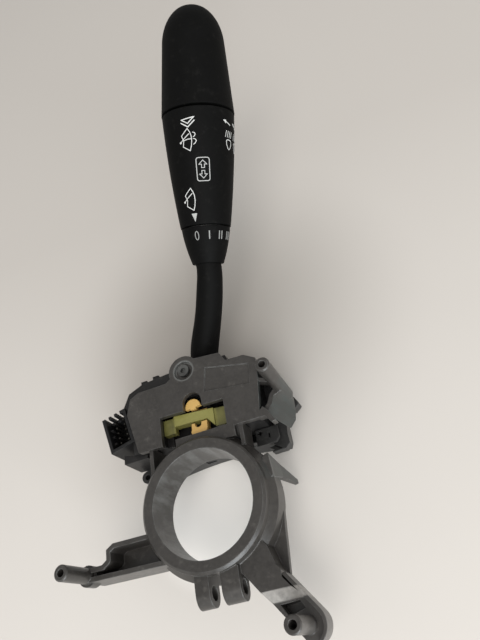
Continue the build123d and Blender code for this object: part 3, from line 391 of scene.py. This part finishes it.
# tin darkened to paint the shade that the pins sit in, deep in the socket
tin_in_shade = metal("pin_tin_in_shade", (0.10, 0.095, 0.085), (0.05, 0.047, 0.041), rough=0.45)
ink = print_ink("print_white", (0.50, 0.50, 0.485), (0.24, 0.24, 0.23))
ink_soft = print_ink("print_soft", (0.34, 0.34, 0.33), (0.16, 0.16, 0.155))
ink_grey = print_ink("print_grey", (0.23, 0.23, 0.222), (0.09, 0.09, 0.09))

finishes = (
    (frame_grey, ("column_frame",)),
    (shell_black, ("switch_body", "lever_yoke")),
    (tray_black, ("rear_tray",)),
    (socket_black, ("connector_shell",)),
    (stalk_black, ("stalk_stem", "scale_collar", "wiper_sleeve", "washer_cap")),
    (olive, ("cancel_bridge",)),
    (amber, ("cancel_pawl",)),
    (natural, ("detent_track", "contact_drum", "detent_wheel", "washer_button")),
    (core_plastic, ("handle_core",)),
    (board, ("contact_plate",)),
    (plated, ("mount_screw",)),
    (steel, ("cross_pin", "detent_plunger", "detent_spring", "pawl_pin", "washer_spring")),
    (brass, ("contact_tracks", "turn_slider")),
    (tin_in_shade, ("connector_pins",)),
)
for material, names in finishes:
    for name in names:
        for material_slot in nodes[name].material_slots:
            material_slot.material = material


# --- Meshes ----------------------------------------------------------------------
def finished_mesh(name, mesh):
    """Mesh data from a closed body, with its faces turned outwards."""
    bmesh.ops.recalc_face_normals(mesh, faces=mesh.faces)
    data = bpy.data.meshes.new(name)
    mesh.to_mesh(data)
    mesh.free()
    return data


def add_piece(name, data, material, body):
    """Put a finished mesh in the scene as a piece that rides a body."""
    data.materials.clear()
    data.materials.append(material)
    piece = bpy.data.objects.new(name, data)
    bpy.context.scene.collection.objects.link(piece)
    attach(piece, body)
    return piece


# --- Laying print on the grip ----------------------------------------------------
def skin_of(name):
    """Tree of a node's faces, to cast rays at."""
    mesh = nodes[name].data
    corners = [vertex.co.copy() for vertex in mesh.vertices]
    return BVHTree.FromPolygons(corners, [tuple(face.vertices) for face in mesh.polygons])


def grip_point(skin, along, angle, lift):
    """Point above the grip's skin, from a height along it and an angle round it."""
    axis = grip_foot + grip_along * along
    out = grip_face * math.cos(angle) + grip_side * math.sin(angle)
    hit, normal, _, _ = skin.ray_cast(axis + out * grip_clear, -out)
    return hit + normal * lift


def grip_wrap(on, along, turn):
    """Function that lays a flat point, in mm, on the grip round the given place."""
    skin = skin_of(on)
    start = math.radians(turn)
    radius = (grip_point(skin, along, start, 0) - grip_foot - grip_along * along).length / MM

    def laid(x, y, lift):
        return grip_point(skin, along + y * MM, start + x / radius, lift * MM)

    return laid


def finer(points, widths, closed):
    """The same run of points and widths with no step longer than the print step."""
    count = len(points)
    fine = []
    for n in range(count if closed else count - 1):
        a, b = Vector(points[n]), Vector(points[(n + 1) % count])
        wide, next_wide = widths[n], widths[(n + 1) % count]
        parts = max(1, math.ceil((b - a).length / print_step))
        fine.extend((a.lerp(b, k / parts), wide + (next_wide - wide) * k / parts) for k in range(parts))
    if not closed:
        fine.append((Vector(points[-1]), widths[-1]))
    return fine


def stroke_edges(points, width, closed):
    """Left and right edge of a stroke, mitred at its corners."""
    widths = [width] * len(points) if isinstance(width, (int, float)) else list(width)
    run = finer(points, widths, closed)
    count = len(run)
    edges = []
    for n, (point, wide) in enumerate(run):
        ways = []
        if closed or n:
            ways.append((point - run[(n - 1) % count][0]).normalized())
        if closed or n < count - 1:
            ways.append((run[(n + 1) % count][0] - point).normalized())
        way = sum(ways, Vector((0, 0))).normalized()
        across = Vector((-way.y, way.x))
        mitre = across.dot(Vector((-ways[0].y, ways[0].x)))
        reach = wide / 2 / max(sharpest_mitre, mitre)
        edges.append((point + across * reach, point - across * reach))
    return edges


def printed_mark(name, on, body, along, turn, strokes, material):
    """Raised ink on the grip: every stroke is a closed thin body on the skin."""
    laid = grip_wrap(on, along, turn)
    mesh = bmesh.new()
    for points, width, closed in strokes:
        rows = []
        for sides in stroke_edges(points, width, closed):
            heights = (print_lift, -print_root)
            rows.append([mesh.verts.new(laid(flat.x, flat.y, lift)) for lift in heights for flat in sides])
        following = rows[1:] + rows[:1] if closed else rows[1:]
        for (a, b, c, d), (e, f, g, h) in zip(rows, following):
            for face in ((a, b, f, e), (c, g, h, d), (a, e, g, c), (b, d, h, f)):
                mesh.faces.new(face)
        if not closed:
            for a, b, c, d in (rows[0], rows[-1]):
                mesh.faces.new((a, c, d, b))
    return add_piece(name, finished_mesh(name, mesh), material, body)


def stroke_row_group():
    """Geometry nodes: a row of equal slanted strokes, flat, one unit thick."""
    tree, given, out = new_group(
        "stroke_row",
        "GeometryNodeTree",
        [("Count", "Int", 3), ("Pitch", "Float", 1.3), ("Width", "Float", 0.4), ("Length", "Float", 3.0),
         ("Lean", "Float", 0.0), ("Ink", "Material", None)],
        [("Geometry", "Geometry")],
    )
    link = tree.links.new

    def vector(**parts):
        node = add_node(tree, "ShaderNodeCombineXYZ")
        for axis, value in parts.items():
            feed(tree, node.inputs[axis], value)
        return node.outputs[0]

    gaps = math_node(tree, "SUBTRACT", given["Count"], 1.0)
    line = add_node(tree, "GeometryNodeMeshLine")
    link(given["Count"], line.inputs["Count"])
    link(vector(X=times(tree, gaps, times(tree, given["Pitch"], -0.5))), line.inputs["Start Location"])
    link(vector(X=given["Pitch"]), line.inputs["Offset"])
    bar = add_node(tree, "GeometryNodeMeshCube")
    link(vector(X=given["Width"], Y=given["Length"], Z=1.0), bar.inputs["Size"])
    bar.inputs["Vertices Y"].default_value = 8
    copies = add_node(tree, "GeometryNodeInstanceOnPoints")
    link(line.outputs["Mesh"], copies.inputs["Points"])
    link(bar.outputs["Mesh"], copies.inputs["Instance"])
    link(vector(Z=given["Lean"]), copies.inputs["Rotation"])
    real = add_node(tree, "GeometryNodeRealizeInstances")
    link(copies.outputs["Instances"], real.inputs["Geometry"])
    inked = add_node(tree, "GeometryNodeSetMaterial")
    link(real.outputs["Geometry"], inked.inputs["Geometry"])
    link(given["Ink"], inked.inputs["Material"])
    link(inked.outputs["Geometry"], out["Geometry"])
    return tree


row_group = stroke_row_group()


def row_mesh(**sizes):
    """Plain mesh of a flat row of strokes; mm."""
    base = bpy.data.objects.new("row_base", bpy.data.meshes.new("row_base"))
    bpy.context.scene.collection.objects.link(base)
    modifier = base.modifiers.new("stroke_row", "NODES")
    modifier.node_group = row_group
    for item in row_group.interface.items_tree:
        if item.in_out == "INPUT":
            modifier[item.identifier] = sizes.get(item.name, getattr(item, "default_value", None))
    view = bpy.context.evaluated_depsgraph_get()
    data = bpy.data.meshes.new_from_object(base.evaluated_get(view))
    bpy.data.objects.remove(base)
    return data


def printed_row(name, on, body, along, turn, material, shift=(0.0, 0.0), **sizes):
    """Row of equal strokes, such as a lamp's beams or a numeral's bars, laid on the grip."""
    flat = row_mesh(Ink=material, **sizes)
    laid = grip_wrap(on, along, turn)
    for vertex in flat.vertices:
        x, y, z = vertex.co
        vertex.co = laid(x + shift[0], y + shift[1], print_lift if z > 0 else -print_root)
    mesh = bmesh.new()
    mesh.from_mesh(flat)
    bpy.data.meshes.remove(flat)
    return add_piece(name, finished_mesh(name, mesh), material, body)


# --- Shapes of the marks, in mm --------------------------------------------------
def rounded_box(width, height, radius, corner=4):
    points = []
    for side_x, side_y, start in ((1, 1, 0), (-1, 1, 90), (-1, -1, 180), (1, -1, 270)):
        for n in range(corner + 1):
            angle = math.radians(start + 90 * n / corner)
            points.append((side_x * (width / 2 - radius) + radius * math.cos(angle),
                           side_y * (height / 2 - radius) + radius * math.sin(angle)))
    return points


def oval(width, height, count=20):
    turns = [2 * math.pi * n / count for n in range(count)]
    return [(width / 2 * math.cos(turn), height / 2 * math.sin(turn)) for turn in turns]


def hollow_arrow(up, rise):
    """Outline of an arrow that points up or down, moved that way by the rise."""
    shape = [(-0.75, 0.0), (-0.75, 1.7), (-2.0, 1.7), (0.0, 3.7), (2.0, 1.7), (0.75, 1.7), (0.75, 0.0)]
    slim, squat = 0.84, 0.86
    sign = 1 if up else -1
    return [(slim * x, sign * (squat * y + rise)) for x, y in shape]


def windscreen(wiped):
    """Windscreen seen from the side with its wiper, and the wiped line where asked."""
    outline = [(1.0, 4.7), (-1.95, 1.9), (-1.1, -0.2), (-1.6, -2.7), (1.5, -4.7), (2.2, -2.8), (2.55, -0.6),
               (2.45, 1.6), (1.9, 3.2)]
    arm = [(-2.75, -0.9), (-1.3, 0.35), (1.6, 2.5)]
    pivot = [(-3.0, -1.05), (-2.4, -0.6)]
    strokes = [(outline, print_stroke, True), (arm, print_stroke, False), (pivot, 0.8, False)]
    if wiped:
        strokes.append(([(-1.1, -0.2), (0.8, 0.25), (2.5, 0.2)], print_stroke, False))
    return strokes


def spray():
    """Two arcs of washer spray in front of the windscreen."""
    high = [(3.1, 2.9), (3.9, 2.7), (4.3, 2.0), (3.9, 1.2), (3.2, 1.0)]
    low = [(3.1, 0.3), (4.1, 0.0), (4.6, -0.8), (4.0, -1.7), (3.2, -2.2)]
    return [(high, 0.3, False), (low, 0.3, False)]


def filled_wedge(top, tip_x, tip, width, strips=4):
    """Filled triangle from a flat edge to its tip, in strips that follow the skin."""
    step = width / strips
    starts = [step * (n - (strips - 1) / 2) for n in range(strips)]
    return [([(x, top), (tip_x, tip)], (step * 1.1, 0.08), False) for x in starts]


def lamp_lens():
    outline = [(-1.75, 0.2), (-0.9, 0.75), (0.9, 0.75), (1.75, 0.2), (1.6, -1.4), (0.8, -2.9), (0.0, -3.4),
               (-0.8, -2.9), (-1.6, -1.4)]
    return [(outline, print_stroke, True)]


def small_arrow():
    """Arrow that points past the grip's near side, its head in three strips."""
    tip = (-2.6, 0.65)
    head = [([(-0.8, 0.2 + 0.5 * side), tip], (0.55, 0.08), False) for side in (-1, 0, 1)]
    return head + [([(-0.9, 0.25), (2.3, -0.8)], 0.42, False)]


def height_box():
    """Rounded box with an arrow up and an arrow down."""
    return [(rounded_box(5.6, 9.8, 1.0), 0.36, True), (hollow_arrow(True, 0.6), 0.3, True),
            (hollow_arrow(False, 0.6), 0.3, True)]


def press_sign():
    """Triangle over a chevron, for the end that is pressed."""
    return [([(-3.1, -0.2), (0.1, -2.3), (3.2, 0.3)], 0.45, False),
            ([(-2.7, 0.95), (3.0, 1.7), (0.1, -0.8)], 0.42, True)]


def grip_marks():
    """Every mark by its height up the grip in metres and its angle from the read side."""
    sleeve = ("wiper_sleeve", "wiper_grip")
    marks = (
        ("mark_press", 0.0598, -17.6, press_sign(), ink),
        ("mark_wash_wipe", 0.0522, -22.4, windscreen(True) + spray(), ink),
        ("mark_height", 0.0394, 2.4, height_box(), ink_soft),
        ("mark_wiper", 0.0272, -28.6, windscreen(False), ink),
        ("mark_pointer", 0.0194, -22.3, filled_wedge(1.75, 0.1, -1.75, 2.5), ink_soft),
        ("mark_arrow_near", 0.0604, 51.0, small_arrow(), ink),
        ("mark_arrow_far", 0.0604, 77.0, small_arrow(), ink),
    )
    for name, along, turn, strokes, material in marks:
        printed_mark(name, *sleeve, along, turn, strokes, material)
    for name, turn, beams in (("main_beam", 55.0, 4), ("dipped_beam", 80.0, 3)):
        printed_mark(f"mark_{name}", *sleeve, 0.0522, turn, lamp_lens(), ink)
        printed_row(f"rays_{name}", *sleeve, 0.0522, turn, ink, (-0.1, 3.2), Count=beams,
                    Pitch=3.8 / (beams - 1), Width=0.3, Length=3.1, Lean=-0.26)
    collar = ("scale_collar", "lever", 0.0117)
    printed_mark("scale_off", *collar, -23.3, [(oval(1.65, 3.6), 0.36, True)], ink_grey)
    for name, turn, bars in (("one", 7.6, 1), ("two", 37.3, 2), ("three", 67.0, 3)):
        printed_row(f"scale_{name}", *collar, turn, ink_grey, Count=bars, Pitch=1.35, Width=0.5, Length=3.6)


grip_marks()


# --- Ledge of the module ---------------------------------------------------------
def slotted_plate(name, outline, slots, front, thick, material, body):
    """Flat plate with slots through it, in the part's frame; mm."""
    mesh = bmesh.new()
    edges = []
    for ring in [outline, *slots]:
        corners = [mesh.verts.new((x * MM, y * MM, front * MM)) for x, y in ring]
        edges += [mesh.edges.new(pair) for pair in zip(corners, corners[1:] + corners[:1])]
    filled = bmesh.ops.triangle_fill(mesh, use_beauty=True, edges=edges)["geom"]
    faces = [part for part in filled if isinstance(part, bmesh.types.BMFace)]
    grown = bmesh.ops.extrude_face_region(mesh, geom=faces)["geom"]
    moved = [part for part in grown if isinstance(part, bmesh.types.BMVert)]
    bmesh.ops.translate(mesh, vec=(0.0, 0.0, -thick * MM), verts=moved)
    return add_piece(name, finished_mesh(name, mesh), material, body)


def module_ledge():
    """Ledge below the module's right side, with its latch slots."""
    outline = [(19.4, 28.6), (29.4, 28.6), (29.4, 23.4), (27.8, 21.6), (19.4, 21.6)]
    cross = [(20.3, 26.6), (21.0, 26.6), (21.0, 25.9), (21.9, 25.9), (21.9, 26.6), (22.6, 26.6), (22.6, 27.4),
             (21.9, 27.4), (21.9, 28.0), (21.0, 28.0), (21.0, 27.4), (20.3, 27.4)]
    notch = [(24.9, 26.4), (25.6, 26.4), (25.6, 24.2), (24.9, 24.2)]
    slotted_plate("module_ledge", outline, [cross, notch], front=-21.0, thick=1.2, material=tray_black,
                  body="housing")


module_ledge()


# --- Floor -----------------------------------------------------------------------
floor_half = 12.0
floor_gap = 0.0005  # below the part's lowest point
stem_shade = (0.012, 0.100, 0.0)  # middle of the shade that lies beside the stem
bore_light = (-0.012, 0.006, 0.0)  # middle of the lit spot seen through the bore


def near_spot(tree, place, middle, inner, outer):
    """Soft round mask on the floor; metres."""
    flat = add_node(tree, "ShaderNodeVectorMath", operation="MULTIPLY")
    tree.links.new(place, flat.inputs[0])
    flat.inputs[1].default_value = (1.0, 1.0, 0.0)
    return ramp(tree, distance_from(tree, flat.outputs[0], middle), outer, inner, kind="SMOOTHSTEP")


def floor_paint():
    """Pale paper with painted shade, greyer up the part, far off and round the stem, and painted light that
    makes it brightest under the bore.
    """
    material, tree, shader, place = start_material("floor_pale")
    depth = axes(tree, place)[1]
    cloud = ramp(tree, noise(tree, place, 6.0), 0.3, 0.7)
    paint = mix_colour(tree, cloud, (0.63, 0.600, 0.565), (0.66, 0.628, 0.591))
    layers = (
        # painted shade: greyer up the part, towards +Y
        (ramp(tree, depth, -0.08, 0.20, to=(0.0, 0.92)), (0.50, 0.470, 0.437)),
        # painted shade: darker far off towards -Y, where the window lamp would glare
        (ramp(tree, depth, -0.35, -1.6, to=(0.0, 0.85)), (0.24, 0.230, 0.215)),
        (times(tree, near_spot(tree, place, stem_shade, inner=0.005, outer=0.105), 0.80), (0.29, 0.270, 0.246)),
        (times(tree, near_spot(tree, place, bore_light, inner=0.018, outer=0.036), 0.85), (0.93, 0.90, 0.86)),
    )
    for mask, over in layers:
        paint = mix_colour(tree, mask, paint, over)
    tree.links.new(paint, shader.inputs["Base Color"])
    shader.inputs["Roughness"].default_value = 0.9
    shader.inputs["Specular IOR Level"].default_value = 0.1
    return material


def pale_floor():
    data = bpy.data.meshes.new("floor")
    level = cad_box[0][2] - floor_gap
    corners = [(x * floor_half, y * floor_half, level) for x, y in ((-1, -1), (1, -1), (1, 1), (-1, 1))]
    data.from_pydata(corners, [], [(0, 1, 2, 3)])
    data.materials.append(floor_paint())
    floor = bpy.data.objects.new("floor", data)
    bpy.context.scene.collection.objects.link(floor)


# --- Light and camera ------------------------------------------------------------
def soft_lamp(name, towards, distance, size, power, colour):
    """Round lamp that looks at the middle of the part from the given side."""
    lamp_data = bpy.data.lights.new(name, "AREA")
    lamp_data.shape = "DISK"
    lamp_data.size = size
    lamp_data.energy = power
    lamp_data.color = colour
    lamp = bpy.data.objects.new(name, lamp_data)
    bpy.context.scene.collection.objects.link(lamp)
    way = Vector(towards).normalized()
    lamp.location = part_middle + way * distance
    lamp.rotation_euler = way.to_track_quat("Z", "Y").to_euler()


def studio():
    """Pale room, a warm lamp by the camera and a wide cool window low at the part's foot."""
    world = bpy.data.worlds.new("studio")
    world.use_nodes = True
    room = world.node_tree.nodes["Background"]
    room.inputs["Color"].default_value = (1.0, 0.985, 0.965, 1.0)
    room.inputs["Strength"].default_value = 0.55
    scene = bpy.context.scene
    scene.world = world
    scene.view_settings.view_transform = "Standard"
    soft_lamp("key", camera_back - camera_right * 0.12, distance=1.40, size=1.02, power=11.2,
              colour=(1.0, 0.970, 0.935))
    soft_lamp("window", (0.30, -0.90, 0.26), distance=5.00, size=4.40, power=360.0, colour=(0.90, 0.96, 1.0))


def place_camera():
    lens = bpy.data.cameras.new("camera")
    lens.sensor_width = camera_sensor
    lens.lens = camera_lens
    lens.clip_start = 0.01
    eye = bpy.data.objects.new("camera", lens)
    scene = bpy.context.scene
    scene.collection.objects.link(eye)
    turned = Matrix((camera_right, camera_up, camera_back)).transposed().to_4x4()
    eye.matrix_world = Matrix.Translation(camera_at) @ turned
    scene.camera = eye


pale_floor()
studio()
place_camera()
